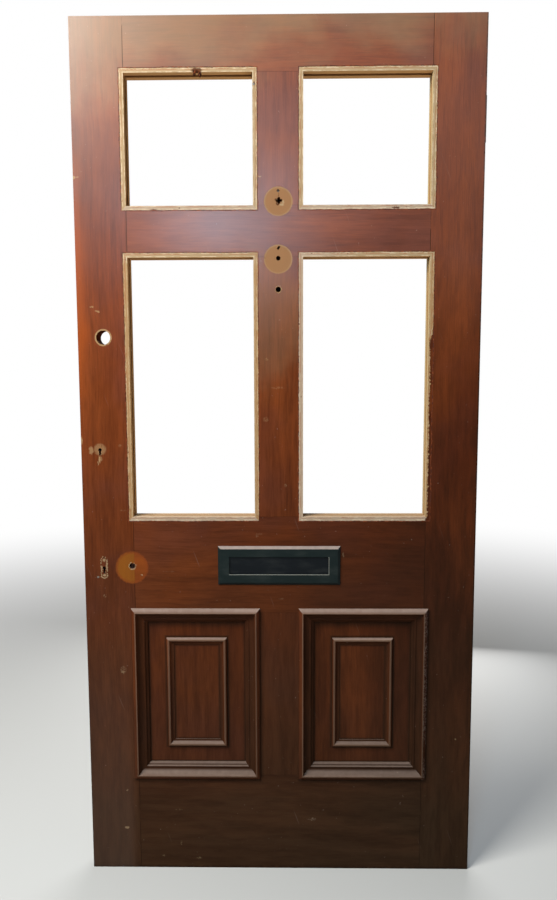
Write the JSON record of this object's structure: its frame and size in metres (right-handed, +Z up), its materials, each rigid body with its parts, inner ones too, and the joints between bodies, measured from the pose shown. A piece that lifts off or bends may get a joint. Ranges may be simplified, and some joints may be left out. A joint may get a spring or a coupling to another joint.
{
  "type": "panelled door leaf",
  "caption": "Old framed door leaf with open glazing lights above, bolection-moulded panels below, a letter plate with hinged flap and one butt hinge on its edge.",
  "frame": {"origin": "middle of the leaf's bottom edge, at half its thickness", "axes": "+Z up, -Y towards the outside face with the letter plate, +X towards the hinge edge"},
  "size_m": [0.9205, 0.0653, 1.981],
  "materials": {
    "frame_wood": "old red-brown varnish, worn",
    "panel_wood": "old red-brown varnish",
    "moulding_wood": "old red-brown varnish, dusty ledges",
    "wedge_wood": "bare end grain",
    "letter_plate_iron": "dark, dull, slightly green",
    "hinge_iron": "dark, old paint and rust",
    "dull_steel": "dull, tarnished"
  },
  "bodies": {
    "jamb_leaf": {"hinge_jamb_leaf": "hinge_iron", "hinge_pin": "dull_steel"},
    "door": {"lock_stile": "frame_wood", "hinge_stile": "frame_wood", "top_rail": "frame_wood", "frieze_rail": "frame_wood", "lock_rail": "frame_wood", "bottom_rail": "frame_wood", "upper_muntin": "frame_wood", "middle_muntin": "frame_wood", "lower_muntin": "frame_wood", "tenon_wedges": "wedge_wood", "left_panel": "panel_wood", "right_panel": "panel_wood", "left_bolection_bottom": "moulding_wood", "left_bolection_top": "moulding_wood", "left_bolection_left": "moulding_wood", "left_bolection_right": "moulding_wood", "right_bolection_bottom": "moulding_wood", "right_bolection_top": "moulding_wood", "right_bolection_left": "moulding_wood", "right_bolection_right": "moulding_wood", "left_field_moulding_bottom": "moulding_wood", "left_field_moulding_top": "moulding_wood", "left_field_moulding_left": "moulding_wood", "left_field_moulding_right": "moulding_wood", "right_field_moulding_bottom": "moulding_wood", "right_field_moulding_top": "moulding_wood", "right_field_moulding_left": "moulding_wood", "right_field_moulding_right": "moulding_wood", "left_back_moulding_bottom": "moulding_wood", "left_back_moulding_top": "moulding_wood", "left_back_moulding_left": "moulding_wood", "left_back_moulding_right": "moulding_wood", "right_back_moulding_bottom": "moulding_wood", "right_back_moulding_top": "moulding_wood", "right_back_moulding_left": "moulding_wood", "right_back_moulding_right": "moulding_wood", "letter_plate": "letter_plate_iron", "flap_pin": "dull_steel", "flap_spring": "dull_steel", "letter_plate_bolts": "dull_steel", "letter_plate_nuts": "dull_steel", "letter_plate_washers": "dull_steel", "hinge_door_leaf": "hinge_iron", "hinge_screws": "dull_steel", "leftover_nails": "dull_steel"},
    "flap": {"letter_flap": "letter_plate_iron"}
  },
  "joints": [
    {"name": "door_swing", "type": "hinge", "parent": "jamb_leaf", "child": "door", "pos_m": [0.4575, 0.0283, 1.763], "axis": [0, 0, -1], "range_deg": [0, 180]},
    {"name": "flap_hinge", "type": "hinge", "parent": "door", "child": "flap", "pos_m": [0, -0.0202, 0.784], "axis": [1, 0, 0], "range_deg": [0, 80], "stiffness_Nm_per_rad": 0.03, "springref_deg": -45.84, "deforming": ["flap_spring"]}
  ]
}
